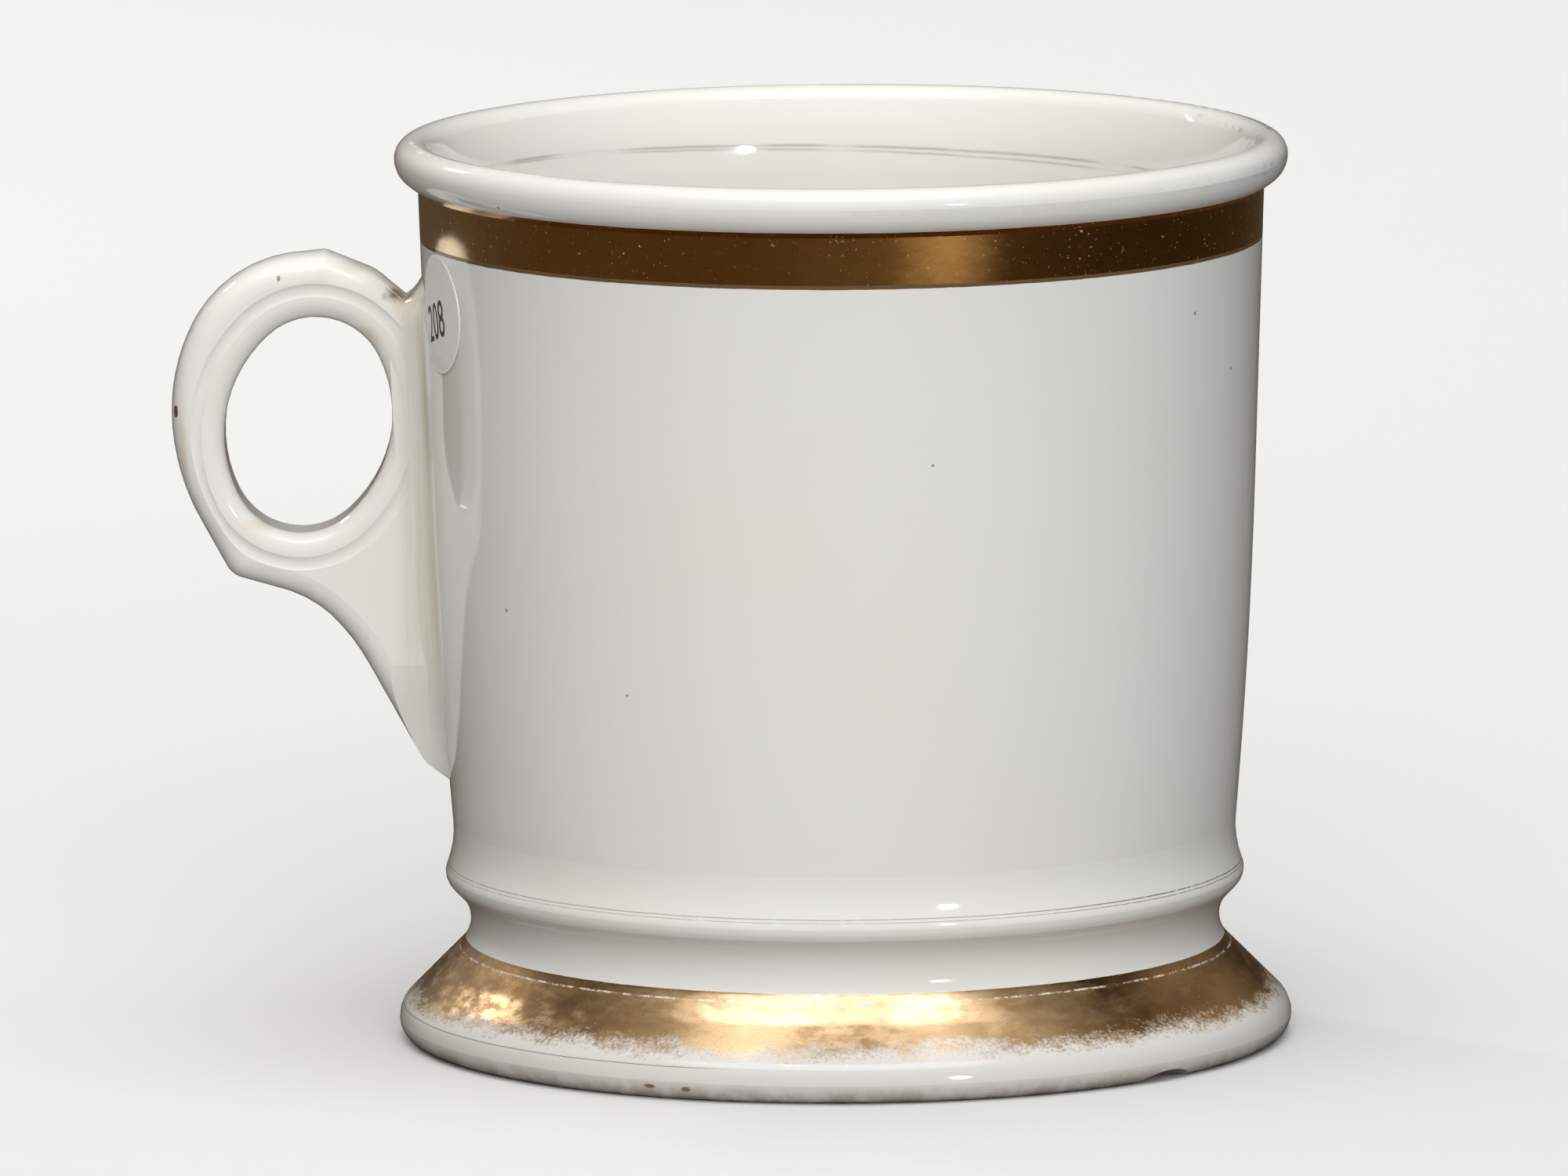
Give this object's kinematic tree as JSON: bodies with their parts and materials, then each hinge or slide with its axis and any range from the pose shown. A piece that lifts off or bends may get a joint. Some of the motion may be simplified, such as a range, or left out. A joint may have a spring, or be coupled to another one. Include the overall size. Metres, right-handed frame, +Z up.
{
  "type": "shaving mug",
  "caption": "Straight-sided porcelain shaving mug with a rolled rim, a spreading moulded foot and a ring-shaped side handle.",
  "frame": {"origin": "middle of the bounding box in plan, in the plane that the mug stands on; the cup's own axis is 11.4 mm from it towards +X", "axes": "+Z up along the cup's axis, -X out along the handle"},
  "size_m": [0.1152, 0.0922, 0.0934],
  "materials": {
    "porcelain": "clear glossy glaze over white porcelain, with worn gilt bands at the neck and foot and brown-gold lines on the ring",
    "paper": "matt white paper label"
  },
  "bodies": {
    "root": {"mug": "porcelain", "paper_sticker": "paper"}
  },
  "joints": []
}
